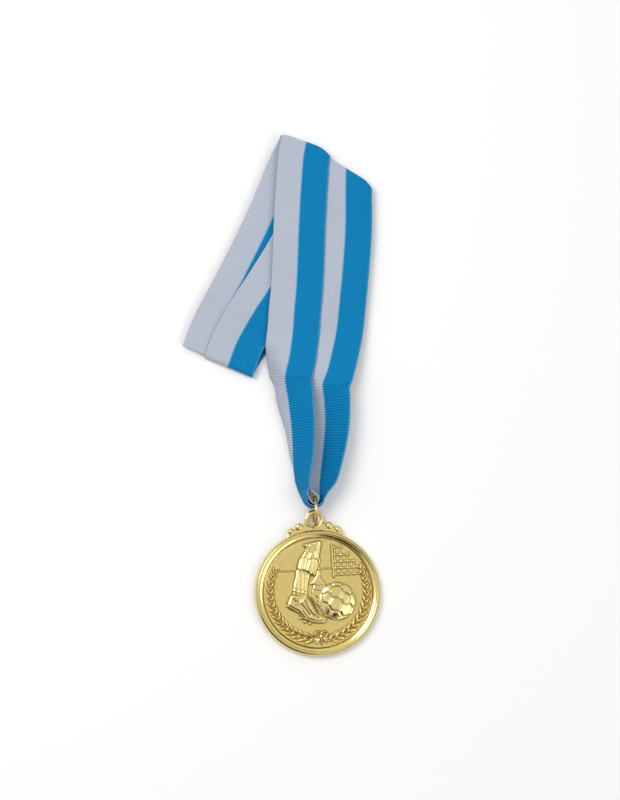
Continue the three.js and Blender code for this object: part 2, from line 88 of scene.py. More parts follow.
class SmoothPath:
    """A smooth line through points, with given directions at its ends and straight beyond them."""

    def __init__(self, points, start, end, values=None):
        self.points = np.array(points, float)
        chords = np.linalg.norm(np.diff(self.points, axis=0), axis=1)
        self.knots = np.concatenate([[0], np.cumsum(chords)])
        self.length = self.knots[-1]
        self.slopes = self._slopes(self.points)
        self.slopes[0], self.slopes[-1] = start, end
        self.values = None if values is None else np.array(values, float)
        if values is not None:
            self.value_slopes = self._slopes(self.values)
            self.value_slopes[0] = self.value_slopes[-1] = 0

    def _slopes(self, rows):
        slopes = np.zeros_like(rows)
        span = (self.knots[2:] - self.knots[:-2])[:, None]
        slopes[1:-1] = (rows[2:] - rows[:-2]) / span
        return slopes

    def at(self, distance):
        i = np.clip(np.searchsorted(self.knots, distance, side="right") - 1, 0, len(self.knots) - 2)
        span = (self.knots[i + 1] - self.knots[i])[:, None]
        t = np.clip((distance - self.knots[i])[:, None] / span, 0, 1)

        def hermite(rows, slopes):
            return ((2 * t**3 - 3 * t**2 + 1) * rows[i] + (t**3 - 2 * t**2 + t) * span * slopes[i]
                    + (3 * t**2 - 2 * t**3) * rows[i + 1] + (t**3 - t**2) * span * slopes[i + 1])

        place = hermite(self.points, self.slopes)
        travel = ((6 * t**2 - 6 * t) * (self.points[i] - self.points[i + 1]) / span
                  + (3 * t**2 - 4 * t + 1) * self.slopes[i] + (3 * t**2 - 2 * t) * self.slopes[i + 1])
        over = np.where(distance < 0, distance, np.where(distance > self.length, distance - self.length, 0))
        place = place + travel * over[:, None]
        values = None if self.values is None else hermite(self.values, self.value_slopes)
        return place, travel, values


class Stretch:
    """The strip between two creases, straight for a short way at both ends."""

    def __init__(self, start_at, start, points, end_at, end, run, rolls, is_leg=False):
        self.is_leg = is_leg
        z0, z1 = points[0][2], points[-1][2]
        first = np.array([start_at[0], start_at[1], z0]) + np.array(start) * run[0]
        last = np.array([end_at[0], end_at[1], z1]) - np.array(end) * run[1]
        self.path = SmoothPath([first, *points, last], start, end, rolls)
        self.run = run
        self.length = self.path.length + sum(run)

    def placed(self, along, across):
        place, travel, rolls = self.path.at(along - self.run[0])
        right = np.stack([travel[:, 1], -travel[:, 0], 0 * travel[:, 0]], 1)
        right /= np.linalg.norm(right, axis=1)[:, None]
        steps = 28
        level = np.zeros(len(along))
        rise = np.zeros(len(along))
        each = np.arange(len(along))
        for k in range(steps):
            v = across * (k + 0.5) / steps
            j = np.clip(np.searchsorted(SECTION, v) - 1, 0, len(SECTION) - 2)
            t = (v - SECTION[j]) / (SECTION[j + 1] - SECTION[j])
            angle = np.radians(rolls[each, j] * (1 - t) + rolls[each, j + 1] * t)
            level += np.cos(angle) * across / steps
            rise += np.sin(angle) * across / steps
        out = place + right * (level * rolls[:, -1])[:, None]
        out[:, 2] += rise * rolls[:, -1]
        if self.is_leg:
            lowest = Z_RETURN + 0.1
            out[:, 2] = (out[:, 2] + lowest + np.hypot(out[:, 2] - lowest, 0.4)) / 2
        return out


class Turn:
    """A crease where the strip turns over; at is the middle of its visible edge."""

    def __init__(self, at, slope, up, before, after, droops=(), droop_way=0):
        self.normal = heading(slope) * (1 if up else -1)
        self.crease = np.array([self.normal[1], -self.normal[0], 0.0])
        self.droops = droops
        self.droop_way = -heading(droop_way)
        self.radius = abs(before - after) / 2
        self.line = np.array([*at, 0.0]) + self.normal * self.radius * (math.pi / 2 - 1)
        self.before, self.after = before, after

    def drooped(self, place):
        """Corners of a soft fold fall back from its straight crease."""
        away = (place - self.line) * [1, 1, 0]
        beside = away @ self.crease
        near = np.exp(-((away @ self.normal) / 8) ** 2)
        fall = np.zeros(len(place))
        for amount, start, end in self.droops:
            fall += amount * np.clip((beside - start) / (end - start), 0, 1.5) ** 2
        return place + self.droop_way * (fall * near)[:, None]

    def reflect(self, direction):
        return direction - 2 * np.dot(direction, self.normal) * self.normal


OUTER = Turn((-37.3, 109.4), 25.3, False, Z_RETURN, Z_HIGH)
RIGHT_TOP = Turn((24.4, 202.0), 34.0, True, Z_HIGH, Z_RIGHT, [(2.2, 9.5, 15)], 4.7)
LEFT_TOP = Turn((5.8, 215.4), 21.5, True, Z_LEFT, Z_LOW, [(2.4, 5, 12.5), (1.2, -8, -12.5)], 14)
INNER = Turn((-47.2, 115.3), 26.0, False, Z_LOW, Z_RETURN_UP)
NECK = Turn((21.0, 184.5), 40.5, True, Z_RETURN_UP, Z_RETURN)
TURNS = [OUTER, RIGHT_TOP, LEFT_TOP, INNER, NECK]

# Right leg, down to the ring: x, y, z of the colour boundary and the roll there.
LEG_DOWN = [
    ((23.4, 185.9, Z_RIGHT), DOWN),
    ((22.4, 171.6, Z_RIGHT), DOWN),
    ((20.0, 152.7, Z_RIGHT), DOWN),
    ((17.8, 138.5, Z_RIGHT), DOWN),
    ((15.4, 124.3, 5.3), DOWN),
    ((12.6, 114.4, 7.2), (173, 175, 179, 180, 180, 180, 1)),
    ((9.3, 104.6, 9.3), (165, 168, 176, 180, 180, 180, 1)),
    ((6.9, 99.3, 10.1), (165, 168, 175, 178, 178, 178, 1)),
    ((6.7, 96.6, 9.6), (167, 170, 175, 172, 172, 172, 1)),
    ((7.4, 91.0, 7.2), (172, 174, 176, 160, 158, 158, 1)),
    ((7.7, 81.4, 4.8), (185, 183, 176, 150, 147, 146, 1)),
    ((6.8, 72.0, 3.6), (190, 186, 176, 142, 139, 139, 1)),
    ((5.4, 62.6, 2.9), (205, 192, 178, 135, 132, 132, 0.97)),
    ((3.9, 53.6, 2.6), (230, 212, 194, 130, 124, 124, 0.9)),
    ((3.3, 48.8, 2.7), (260, 237, 213, 125, 106, 112, 0.82)),
    ((3.2, 45.6, 2.8), (290, 262, 235, 120, 92, 90, 0.76)),
]
RING_TURN = [
    ((2.5, 43.0, 2.9), (292, 266, 240, 120, 88, 72, 0.74)),
    ((0.0, 41.5, 2.9), (295, 270, 245, 115, 90, 65, 0.72)),
    ((-3.0, 42.6, 2.7), (298, 264, 232, 112, 88, 68, 0.74)),
]
LEG_UP = [
    ((-4.7, 45.2, 2.5), (300, 260, 225, 100, 78, 68, 0.77)),
    ((-6.3, 48.4, 2.3), (310, 240, 180, 70, 65, 64, 0.85)),
    ((-7.8, 54.0, 2.5), (280, 215, 170, 58, 57, 57, 0.9)),
    ((-8.4, 64.0, 3.7), (215, 200, 60, 46, 48, 48, 0.97)),
    ((-8.6, 77.0, 5.7), (238, 120, 30, 38, 40, 40, 1)),
    ((-9.8, 91.5, 7.8), (190, 66, 24, 25, 27, 27, 1)),
    ((-10.9, 99.0, 10.0), (120, 66, 45, 10, 11, 11, 1)),
    ((-11.1, 103.2, 11.3), (68, 64, 50, 2, 2, 2, 1)),
    ((-10.2, 106.6, 10.9), (56, 54, 32, 0, 0, 0, 1)),
    ((-8.4, 112.0, 9.0), (36, 34, 18, 0, 0, 0, 1)),
    ((-7.0, 118.2, 7.7), (13, 12, 6, 0, 0, 0, 1)),
    ((-5.7, 124.6, 6.5), (6, 5, 2, 0, 0, 0, 1)),
    ((-4.3, 135.0, Z_LEFT), UP),
    ((-2.9, 144.4, Z_LEFT), UP),
    ((-1.4, 158.7, Z_LEFT), UP),
    ((-0.1, 172.9, Z_LEFT), UP),
    ((1.4, 187.1, Z_LEFT), UP),
    ((3.0, 200.0, Z_LEFT), UP),
]
# The tops of the two soft bends, counted along the whole leg from its first knot.
BEND_DOWN, BEND_UP = 8, 27


class Strip:
    """The whole ribbon: a map from distance along and across it to space."""

    def __init__(self):
        into_right = -heading(4.7)
        out_of_high = -RIGHT_TOP.reflect(-into_right)
        into_high = heading(22)
        into_outer = -OUTER.reflect(-into_high)
        into_left_top = heading(14)
        out_of_left_top = LEFT_TOP.reflect(into_left_top)
        into_inner = -heading(23)
        out_of_inner = INNER.reflect(into_inner)
        into_neck = heading(42)
        out_of_neck = NECK.reflect(into_neck)
        lap_way = -heading(39)
        lap_end = np.array([-1.0, 157.5, Z_LAP])
        lap_start = lap_end + lap_way * LAP

        def flat(side, points):
            return [UP if side > 0 else DOWN] * (len(points) + 2)

        def level(z, *points):
            return [(x, y, z) for x, y in points]

        leg = LEG_DOWN + RING_TURN + LEG_UP
        off_lap = lap_start + lap_way * 6
        below = [tuple(lap_start), (off_lap[0], off_lap[1], Z_RETURN)] + level(
            Z_RETURN, (-20, 134.4), (-29.6, 121.6))
        high = level(Z_HIGH, (-32, 121.6), (-22.8, 135.9), (-15.9, 145.2), (-2, 165.5), (5, 179.5))
        low = level(Z_LOW, (-12.7, 178.2), (-26.9, 152.6), (-34, 140.7), (-42, 127))
        back = level(Z_RETURN_UP, (-30, 138), (-6, 158))
        last = level(Z_RETURN, (8, 168.6))
        first = Stretch(lap_end, lap_way, below, OUTER.line, into_outer, (0, 4), flat(-1, below))
        first.path.points[0][2] = Z_LAP
        self.stretches = [
            first,
            Stretch(OUTER.line, into_high, high, RIGHT_TOP.line, out_of_high, (4, 10), flat(1, high)),
            Stretch(RIGHT_TOP.line, into_right, [p for p, _ in leg], LEFT_TOP.line, into_left_top, (10, 6),
                    [DOWN] + [r for _, r in leg] + [UP], is_leg=True),
            Stretch(LEFT_TOP.line, out_of_left_top, low, INNER.line, into_inner, (6, 4), flat(-1, low)),
            Stretch(INNER.line, out_of_inner, back, NECK.line, into_neck, (4, 4), flat(1, back)),
            Stretch(NECK.line, out_of_neck, last, lap_start, lap_way, (4, 0), flat(-1, last)),
        ]
        self.starts = np.concatenate([[0], np.cumsum([s.length for s in self.stretches])])
        self.length = self.starts[-1]

    def at(self, along, across):
        """Points for equal-length arrays of distance along and across."""
        along = np.asarray(along, float)
        across = np.asarray(across, float)
        nearest = 1 + np.argmin(np.abs(along[:, None] - self.starts[None, 1:-1]), axis=1)
        out = np.zeros((len(along), 3))
        for k, turn in enumerate(TURNS, 1):
            mine = np.nonzero(nearest == k)[0]
            s, v = along[mine], across[mine]
            before = self.stretches[k - 1].placed(s - self.starts[k - 1], v)
            after = self.stretches[k].placed(s - self.starts[k], v)
            quarter = turn.radius * math.pi / 2
            beyond = ((before - turn.line) * [1, 1, 0]) @ turn.normal
            past = beyond > 0
            place = np.where(past[:, None], after, before)
            beyond = ((place - turn.line) * [1, 1, 0]) @ turn.normal
            angle = (beyond + quarter) / turn.radius
            angle = np.where(past, math.pi - angle, angle)
            near = (beyond > -quarter) & (np.abs(s - self.starts[k]) < 25)
            bulge = -quarter + turn.radius * np.sin(angle) - beyond
            bent = place + turn.normal * bulge[:, None]
            bent[:, 2] = (turn.before + turn.after) / 2 + (turn.before - turn.after) / 2 * np.cos(angle)
            out[mine] = turn.drooped(np.where(near[:, None], bent, place))
        return out

    def rows(self):
        """Distances along the strip for the mesh's rows, and how far each row leans."""
        creases = []
        for k, turn in enumerate(TURNS, 1):
            path = self.stretches[k - 1].path
            travel = path.slopes[-1]
            side = 1 if math.cos(math.radians(path.values[-1][0])) > 0 else -1
            right = np.array([travel[1], -travel[0], 0])
            advance = float(travel @ turn.normal)
            creases.append((self.starts[k], advance, -side * float(right @ turn.normal) / advance, turn))
        rows = [self.length]
        for at, advance, _, turn in creases:
            reach = turn.radius * math.pi / 2 / advance
            rows += list(at + np.linspace(-reach, reach, 15))
            rows += [at - reach - 0.5, at + reach + 0.5]
        ring_at = self.starts[2] + sum(
            np.linalg.norm(np.diff(self.stretches[2].path.points, axis=0), axis=1)[:14]) + 10
        fine, coarse = 0.6, 1.6
        s = 0.0
        while s < self.length:
            if all(abs(s - at) > turn.radius * 1.6 + 1.2 for at, _, _, turn in creases):
                rows.append(s)
            s += fine if abs(s - ring_at) < 90 else coarse
        rows = np.array(sorted(rows))
        lean = np.zeros(len(rows))
        for at, _, skew, _ in creases:
            near = np.clip(1 - np.maximum(0, np.abs(rows - at) - 4) / 40, 0, 1)
            lean += skew * near**2 * (3 - 2 * near)
        lean[0] = lean[-1] = 0
        return rows, lean


def sheet_mesh(name, grid, thickness, material, extra):
    """A closed sheet of even thickness round a grid of points."""
    rows, columns, _ = grid.shape
    along = np.empty_like(grid)
    along[1:-1] = grid[2:] - grid[:-2]
    along[0], along[-1] = grid[1] - grid[0], grid[-1] - grid[-2]
    across = np.empty_like(grid)
    across[:, 1:-1] = grid[:, 2:] - grid[:, :-2]
    across[:, 0], across[:, -1] = grid[:, 1] - grid[:, 0], grid[:, -1] - grid[:, -2]
    normal = np.cross(across, along)
    normal /= np.linalg.norm(normal, axis=2)[:, :, None]
    top = grid + normal * thickness / 2
    bottom = grid - normal * thickness / 2
    points = np.concatenate([top.reshape(-1, 3), bottom.reshape(-1, 3)])
    n = rows * columns
    i, j = np.meshgrid(np.arange(rows - 1), np.arange(columns - 1), indexing="ij")
    a = (i * columns + j).ravel()
    faces = [np.stack([a, a + 1, a + columns + 1, a + columns], 1),
             np.stack([a + n, a + columns + n, a + columns + 1 + n, a + 1 + n], 1)]
    left = np.arange(rows - 1) * columns
    faces.append(np.stack([left, left + columns, left + columns + n, left + n], 1))
    right = left + columns - 1
    faces.append(np.stack([right, right + n, right + columns + n, right + columns], 1))
    near = np.arange(columns - 1)
    faces.append(np.stack([near, near + n, near + 1 + n, near + 1], 1))
    far = near + (rows - 1) * columns
    faces.append(np.stack([far, far + 1, far + 1 + n, far + n], 1))
    attributes = {key: np.concatenate([values.ravel(), values.ravel()]) for key, values in extra.items()}
    return new_mesh(name, points, np.concatenate(faces), material, attributes=attributes)


# ------------------------------------------------------------------ materials

def srgb(*channels):
    """A linear colour from 0-255 display values."""
    values = [c / 255 for c in channels]
    return tuple(v / 12.92 if v <= 0.04045 else ((v + 0.055) / 1.055) ** 2.4 for v in values) + (1.0,)


class Nodes:
    """Short forms for building a material's node tree."""

    def __init__(self, name):
        self.material = bpy.data.materials.new(name)
        self.material.use_nodes = True
        self.tree = self.material.node_tree
        self.shader = self.tree.nodes["Principled BSDF"]

    def node(self, kind, **settings):
        node = self.tree.nodes.new(kind)
        for key, value in settings.items():
            setattr(node, key, value)
        return node

    def link(self, source, target):
        self.tree.links.new(source, target)

    def plug(self, socket, value):
        if isinstance(value, bpy.types.NodeSocket):
            self.link(value, socket)
        elif value is not None:
            socket.default_value = value

    def math(self, operation, a, b=None, clamp=False):
        node = self.node("ShaderNodeMath", operation=operation, use_clamp=clamp)
        self.plug(node.inputs[0], a)
        self.plug(node.inputs[1], b)
        return node.outputs[0]

    def attribute(self, name):
        return self.node("ShaderNodeAttribute", attribute_name=name).outputs["Fac"]

    def ramp(self, value, low, high, to_low=0.0, to_high=1.0):
        node = self.node("ShaderNodeMapRange", interpolation_type="SMOOTHSTEP")
        for socket, v in zip(node.inputs, (value, low, high, to_low, to_high)):
            self.plug(socket, v)
        return node.outputs[0]

    def mix(self, fraction, a, b):
        node = self.node("ShaderNodeMix", data_type="RGBA")
        self.plug(node.inputs[0], fraction)
        self.plug(node.inputs[6], a)
        self.plug(node.inputs[7], b)
        return node.outputs[2]

    def noise(self, scale, detail=2.0, vector=None):
        node = self.node("ShaderNodeTexNoise")
        node.inputs["Scale"].default_value = scale
        node.inputs["Detail"].default_value = detail
        if vector is None:
            vector = self.node("ShaderNodeTexCoord").outputs["Object"]
        self.link(vector, node.inputs["Vector"])
        return node.outputs["Fac"]

    def bump(self, height, strength, distance, after=None):
        node = self.node("ShaderNodeBump")
        node.inputs["Strength"].default_value = strength
        node.inputs["Distance"].default_value = distance
        self.link(height, node.inputs["Height"])
        if after is not None:
            self.link(after, node.inputs["Normal"])
        return node.outputs["Normal"]


def woven_ribbon():
    """Two-colour ribbed ribbon: cross ribs with painted light on their crowns and painted shade in their
    grooves, a toothed colour boundary and a pale blue selvedge.
    """
    n = Nodes("woven_ribbon")
    rib, across, taut = n.attribute("rib"), n.attribute("across"), n.attribute("taut")
    wave = n.math("COSINE", n.math("MULTIPLY", rib, 2 * math.pi))
    crown = n.math("ABSOLUTE", n.math("SINE", n.math("MULTIPLY", rib, math.pi)))
    # Teeth of blue yarn reach into the white at every rib.
    edge = n.math("ADD", across, n.math("MULTIPLY", wave, 0.28))
    blue = n.ramp(edge, -0.1, 0.1)
    pale = n.math("MULTIPLY", n.ramp(edge, -0.55, -0.25), n.ramp(edge, 0.4, 0.1))
    selvedge = n.ramp(across, BLUE - 0.8, BLUE - 0.3)
    cloud = n.noise(35.0, 2.0)
    white = n.mix(cloud, srgb(170, 177, 192), srgb(177, 184, 199))
    deep = n.mix(cloud, srgb(0, 114, 168), srgb(0, 122, 176))
    colour = n.mix(blue, white, deep)
    colour = n.mix(n.math("MULTIPLY", pale, 0.5), colour, srgb(140, 186, 218))
    colour = n.mix(n.math("MULTIPLY", selvedge, 0.5), colour, srgb(90, 165, 208))
    # Painted light and shade across each rib: the colour is lifted on the rib crowns and darkened in the
    # grooves, more on the blue and where the ribs lie open.
    depth = n.math("MULTIPLY", n.ramp(taut, 0.0, 1.0, 0.26, 0.42), n.ramp(blue, 0.0, 1.0, 0.3, 1.0))
    groove = n.math("ADD", 1.02, n.math("MULTIPLY", n.ramp(crown, 0.0, 0.75, -0.62, 0.38), depth))
    rib_shade_grey = n.node("ShaderNodeCombineColor")
    for i in range(3):
        n.link(groove, rib_shade_grey.inputs[i])
    shade = n.node("ShaderNodeMix", data_type="RGBA", blend_type="MULTIPLY")
    shade.inputs[0].default_value = 1.0
    n.link(colour, shade.inputs[6])
    n.link(rib_shade_grey.outputs[0], shade.inputs[7])
    n.link(shade.outputs[2], n.shader.inputs["Base Color"])
    n.shader.inputs["Roughness"].default_value = 0.72
    n.shader.inputs["Sheen Weight"].default_value = 0.04
    n.shader.inputs["Specular IOR Level"].default_value = 0.12
    # Fine yarn within each rib, running along the strip.
    yarn = n.node("ShaderNodeCombineXYZ")
    n.link(n.math("MULTIPLY", across, 5.5), yarn.inputs[0])
    n.link(n.math("MULTIPLY", rib, 1.4), yarn.inputs[1])
    fine = n.noise(1.0, 1.0, yarn.outputs[0])
    raised = n.math("MULTIPLY", crown, n.ramp(taut, 0.0, 1.0, 0.35, 1.0))
    normal = n.bump(raised, 0.9, 0.22 * MM)
    normal = n.bump(fine, 0.3, 0.06 * MM, normal)
    n.link(normal, n.shader.inputs["Normal"])
    return n.material


def sewing_thread():
    n = Nodes("sewing_thread")
    colour = n.mix(n.noise(900.0), srgb(214, 219, 232), srgb(232, 235, 244))
    n.link(colour, n.shader.inputs["Base Color"])
    n.shader.inputs["Roughness"].default_value = 0.7
    return n.material


def struck_gold():
    """Polished gold plate: frosted where the relief's ground is matt, with painted shade in its crevices
    and on its sunken ground.
    """
    n = Nodes("struck_gold")
    polish, crevice_shade = n.attribute("polish"), n.attribute("crevice_shade")
    cloud = n.noise(60.0, 2.0)
    bright = n.mix(n.ramp(cloud, 0.35, 0.65), srgb(222, 202, 134), srgb(230, 211, 146))
    colour = n.mix(polish, srgb(204, 185, 118), bright)
    # Painted shade: the colour darkens to brown in the crevices and on the sunken ground.
    colour = n.mix(n.math("MULTIPLY", crevice_shade, 0.8), colour, srgb(120, 88, 30))
    n.link(colour, n.shader.inputs["Base Color"])
    n.shader.inputs["Metallic"].default_value = 1.0
    smear = n.ramp(n.noise(240.0, 3.0), 0.3, 0.7, 0.0, 0.05)
    n.link(n.math("ADD", n.ramp(polish, 0.0, 1.0, 0.5, 0.12), smear), n.shader.inputs["Roughness"])
    grain = n.math("MULTIPLY", n.noise(1700.0, 3.0), n.ramp(polish, 0.0, 1.0, 1.0, 0.02))
    normal = n.bump(grain, 0.9, 0.27 * MM)
    normal = n.bump(n.noise(420.0, 3.0), 0.08, 0.25 * MM, normal)
    n.link(normal, n.shader.inputs["Normal"])
    return n.material


def drawn_wire():
    """Gold-plated wire: bright, with faint marks along it."""
    n = Nodes("drawn_wire")
    cloud = n.noise(300.0, 2.0)
    colour = n.mix(n.ramp(cloud, 0.3, 0.7), srgb(206, 178, 120), srgb(222, 196, 140))
    n.link(colour, n.shader.inputs["Base Color"])
    n.shader.inputs["Metallic"].default_value = 1.0
    n.link(n.ramp(n.noise(700.0, 3.0), 0.3, 0.7, 0.18, 0.3), n.shader.inputs["Roughness"])
    n.link(n.bump(n.noise(1500.0, 2.0), 0.12, 0.05 * MM), n.shader.inputs["Normal"])
    return n.material


RIBBON_MATERIAL = woven_ribbon()
THREAD_MATERIAL = sewing_thread()


# ------------------------------------------------------------------ ribbon: the mesh

def rib_count(along):
    """How many ribs lie before each distance along the strip, and how open they are there."""
    leg = strip.stretches[2].path.knots + strip.starts[2] + strip.stretches[2].run[0]
    first, last = leg[BEND_DOWN], leg[BEND_UP]
    s = np.arange(-2, strip.length + 2, 0.25)
    low = smoothstep(s, first - 4, first + 3) * smoothstep(s, last + 4, last - 3)
    above = np.exp(-((s - first + 12) / 9) ** 2) + np.exp(-((s - last - 12) / 9) ** 2)
    open_at = np.clip(0.45 + 0.55 * low - 0.3 * above * (1 - low), 0, 1)
    count = np.cumsum(0.25 / (1.07 + 0.17 * low - 0.1 * above * (1 - low)))
    return np.interp(along, s, count), np.interp(along, s, open_at)


strip = Strip()
rows, lean = strip.rows()
columns = np.concatenate([np.linspace(-WHITE, -1.6, 17), [-1.0, -0.66, -0.33, 0, 0.33, 0.66, 1.0],
                          np.linspace(1.6, BLUE, 19)])
across = np.broadcast_to(columns, (len(rows), len(columns)))
along = rows[:, None] + lean[:, None] * across
grid = strip.at(along.ravel(), across.ravel()).reshape(len(rows), len(columns), 3)
rib, taut = rib_count(along)
ribbon = sheet_mesh("neck_ribbon", grid, THICK, RIBBON_MATERIAL,
                    {"rib": rib, "across": across, "taut": taut})
print("ribbon length", round(strip.length, 1), "rows", len(rows), "faces", len(ribbon.data.polygons))
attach(ribbon, "neck_ribbon")
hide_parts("ribbon")


# ------------------------------------------------------------------ medal: the struck face

DISC_RADIUS, FIELD_Z = 30.0, 2.6
WREATH_X = 0.4

# A football of edge 1: how far its five- and six-sided panels lie from its middle.
FIVE_AT, SIX_AT = 2.327, 2.267


def inside(outline, x, y, smooth=0):
    """Distance inside a closed outline, negative outside, for every x, y."""
    outline = np.array(outline, float)
    if smooth:
        a, b = np.roll(outline, 1, 0), outline
        c, d = np.roll(outline, -1, 0), np.roll(outline, -2, 0)
        parts = []
        for t in np.arange(smooth) / smooth:
            parts.append(0.5 * (2 * b + (c - a) * t + (2 * a - 5 * b + 4 * c - d) * t**2
                                + (3 * b - a - 3 * c + d) * t**3))
        outline = np.stack(parts, 1).reshape(-1, 2)
    distance = np.full(x.shape, np.inf)
    odd = np.zeros(x.shape, bool)
    for (x0, y0), (x1, y1) in zip(outline, np.roll(outline, -1, 0)):
        distance = np.minimum(distance, segment(x, y, x0, y0, x1, y1))
        if y0 != y1:
            crosses = ((y0 > y) != (y1 > y)) & (x < (x1 - x0) * (y - y0) / (y1 - y0) + x0)
            odd ^= crosses
    return np.where(odd, distance, -distance)


def segment(x, y, x0, y0, x1, y1):
    """Distance to a straight segment."""
    dx, dy = x1 - x0, y1 - y0
    t = np.clip(((x - x0) * dx + (y - y0) * dy) / (dx * dx + dy * dy + 1e-12), 0, 1)
    return np.hypot(x - x0 - t * dx, y - y0 - t * dy)


def chain(x, y, points):
    """Distance to a chain of segments."""
    return np.minimum.reduce([segment(x, y, *a, *b) for a, b in zip(points, points[1:])])


def dome(distance, height, edge):
    """A raised shape with a rounded edge, from the distance inside its outline."""
    t = np.clip(distance / edge, 0, 1)
    return height * np.sqrt(1 - (1 - t) ** 2)


class Face:
    """The struck face: a height over the field and how polished it is, at points x, y."""

    def __init__(self, x, y):
        self.x, self.y = x, y
        self.height = np.zeros(x.shape)
        self.polish = np.zeros(x.shape)

    def raise_to(self, height, polish):
        over = height > self.height
        self.height = np.where(over, height, self.height)
        self.polish = np.where(over & (height > 0.08), polish, self.polish)

    def shape(self, outline, height, edge, polish=0.85, smooth=4, wrinkles=()):
        d = inside(outline, self.x, self.y, smooth)
        h = dome(d, height, edge)
        for points, depth, width in wrinkles:
            h = h - depth * np.exp(-(chain(self.x, self.y, points) / width) ** 2) * (d > 0)
        self.raise_to(np.where(d > 0, h, 0), polish)

    def line(self, points, width, height, polish=0.6):
        d = width / 2 - chain(self.x, self.y, points)
        self.raise_to(np.where(d > 0, dome(d, height, width / 2), 0), polish)

    def disc(self, cx, cy, radius, height, polish=0.8):
        d = radius - np.hypot(self.x - cx, self.y - cy)
        self.raise_to(np.where(d > 0, dome(d, height, radius), 0), polish)


def pitch(face):
    """The ground behind the players: horizon, far arc, a panel, the goal and its net."""
    sky = inside([(-19.6, 11.2), (-17.6, 15.2), (-13.9, 19), (-9.8, 22.3), (-5.8, 24.4), (-3, 23.4),
                  (-3, 11.2)], face.x, face.y)
    panel = inside([(2.9, 11.5), (6.3, 11.5), (6.3, 24.3), (2.9, 24.3)], face.x, face.y)
    face.height -= 0.16 * smoothstep(np.maximum(sky, panel), 0, 0.35)
    face.line([(-19.8, 11.1), (-9.6, 10.8)], 0.55, 0.4, 0.5)
    face.line([(1.5, 11.3), (7.8, 11.4)], 0.55, 0.4, 0.5)
    arc = [(-19.8, 11.3), (-17.8, 15.3), (-14.1, 19.2), (-9.9, 22.5), (-5.8, 24.7)]
    face.line(arc, 0.35, 0.12, 0.3)
    face.line([(2.7, 24.6), (6.5, 24.6), (6.5, 11.5)], 0.4, 0.14, 0.3)
    face.line([(7.8, 22.3), (8.0, 7.2)], 1.15, 0.75, 0.8)
    columns = [9.0, 11.9, 15.0, 18.0, 21.1]
    levels = [21.2, 17.5, 14.4, 11.3, 8.2]
    reaches = [12.6, 15.8, 18.4, 21.4, 21.6]
    for level, reach in zip(levels, reaches):
        face.line([(8.6, level), (reach, level - 0.1)], 0.9, 0.5, 0.5)
    for column, top in zip(columns, [21.6, 22.2, 18.4, 15.0, 12.0]):
        face.line([(column, 8.0), (column, top)], 0.7, 0.45, 0.5)
        for level, reach in zip(levels, reaches):
            if column < reach:
                face.disc(column, level, 0.75, 0.7, 0.6)


def legs(face):
    """The rear leg, then the front sock, the shorts and their hem, each over the last."""
    rear = [(1.4, 18), (2.2, 15), (1.5, 13), (1.8, 8.3), (2.9, 5.7), (3.9, 3.8), (4.6, -1),
            (4.8, -8.4), (3.2, -11.2), (1.6, -9.6), (0.2, -7.1), (-2.2, -3.9), (-3, 0.3),
            (-2.3, 3.4), (-3.8, 4.5), (-2.2, 6), (-0.5, 8.5), (0.6, 12)]
    face.shape(rear, 0.62, 1.1, 0.85, 4, [
        ([(-2.6, 3.9), (0.4, 3.4), (3.4, 3.9)], 0.25, 0.3),
        ([(-2.2, 1.5), (1.5, 0.8), (3.8, 1.2)], 0.2, 0.25),
        ([(-1.6, -1.5), (1.8, -3.6)], 0.22, 0.3), ([(-1, -4), (2.4, -5.4)], 0.22, 0.3),
        ([(0.2, 11), (2.4, 5.6)], 0.15, 0.35)])
    sock = [(-9.4, 11.8), (-5.6, 11), (-3.1, 9), (-4.1, 5), (-4.8, 0.9), (-5.2, -2.2), (-8.4, -2.4),
            (-12, -0.6), (-11.9, 3.4), (-10.8, 7.5)]
    face.shape(sock, 0.95, 1.8, 0.85, 4, [
        ([(-8.4, 10), (-9.4, 1)], 0.22, 0.3), ([(-6.6, 9.4), (-7.4, 0.4)], 0.18, 0.3),
        ([(-5, 8.6), (-5.8, 0)], 0.15, 0.3), ([(-11.6, 2.6), (-5.2, 1)], 0.12, 0.25),
        ([(-11.8, 0.9), (-5, -0.6)], 0.2, 0.25)])
    shorts = [(-6.2, 23), (-2.8, 23.9), (2.8, 24.7), (2.6, 21.2), (1.9, 18.1), (1.3, 15.4),
              (-0.6, 15.6), (-3.2, 15.6), (-7.5, 16.6), (-5.8, 19.6), (-5, 21.6)]
    face.shape(shorts, 1.05, 1.2, 0.85, 3, [
        ([(-4.8, 22.2), (-4.4, 18), (-5.6, 17.2)], 0.3, 0.3),
        ([(-3.3, 22.6), (-2.8, 19), (-3.6, 16.8)], 0.25, 0.35),
        ([(-0.9, 23), (0, 19.8), (-0.6, 17)], 0.25, 0.35), ([(1.4, 23.6), (1.2, 19)], 0.2, 0.35),
        ([(-5.6, 22.6), (2.4, 24)], 0.12, 0.3)])
    hem = [(-7.3, 17.1), (-5.2, 17.5), (-3.2, 16.5), (-0.6, 16.6), (1.1, 15.2), (1.1, 13), (0.5, 11),
           (-1, 8), (-3.1, 8.6), (-5.6, 10.3), (-9.4, 11.2), (-9.1, 14.1), (-8.2, 16.4)]
    face.shape(hem, 1.3, 1.3, 0.85, 3, [
        ([(-6.8, 16.6), (-8.3, 12)], 0.2, 0.3), ([(-5.2, 16.6), (-6.6, 11)], 0.28, 0.32),
        ([(-3.4, 15.8), (-5, 10.6)], 0.2, 0.3), ([(-1.8, 15.6), (-3, 9.6)], 0.28, 0.32),
        ([(-0.2, 15.4), (-0.9, 9.4)], 0.22, 0.3)])


